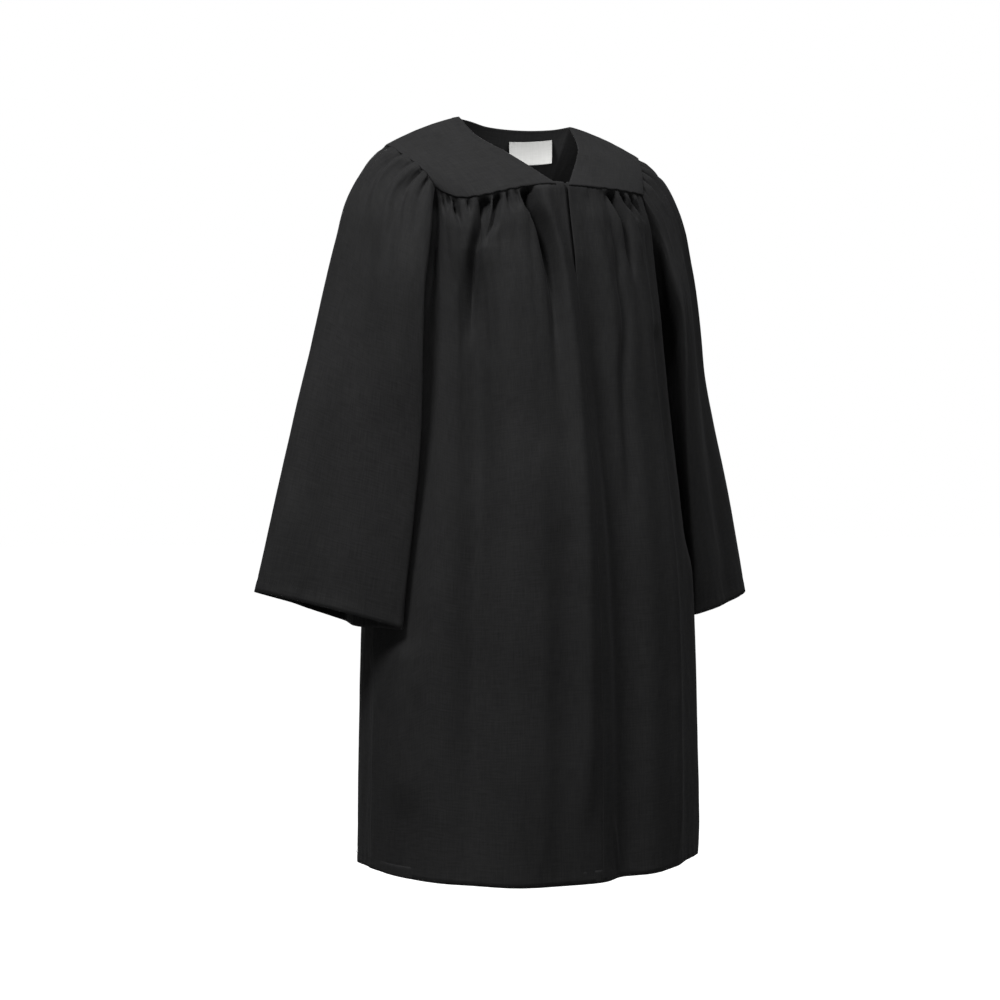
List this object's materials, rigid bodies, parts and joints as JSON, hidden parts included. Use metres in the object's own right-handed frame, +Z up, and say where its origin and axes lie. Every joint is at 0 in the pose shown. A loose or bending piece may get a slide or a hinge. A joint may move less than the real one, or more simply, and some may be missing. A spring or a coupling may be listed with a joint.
{
  "type": "graduation gown",
  "caption": "Child's plain black graduation gown with a V-neck yoke, gathered body and open bell sleeves, hollow and filled out as when worn.",
  "frame": {"origin": "middle of the shoulder line, level with the two points where shoulder and neckline meet", "axes": "+Z up, -Y towards the wearer's front, +X towards the wearer's left"},
  "size_m": [0.5648, 0.2792, 0.7449],
  "materials": {
    "yoke_front_right_cloth": "matte",
    "yoke_front_left_cloth": "matte",
    "yoke_back_cloth": "matte",
    "front_right_cloth": "matte",
    "front_left_cloth": "matte",
    "back_cloth": "matte",
    "sleeve_right_cloth": "matte",
    "sleeve_left_cloth": "matte",
    "neck_label_cloth": "satin"
  },
  "bodies": {
    "root": {"yoke_front_right": "yoke_front_right_cloth", "yoke_front_left": "yoke_front_left_cloth", "yoke_back": "yoke_back_cloth", "front_right": "front_right_cloth", "front_left": "front_left_cloth", "back": "back_cloth", "sleeve_right": "sleeve_right_cloth", "sleeve_left": "sleeve_left_cloth", "neck_label": "neck_label_cloth"}
  },
  "joints": []
}
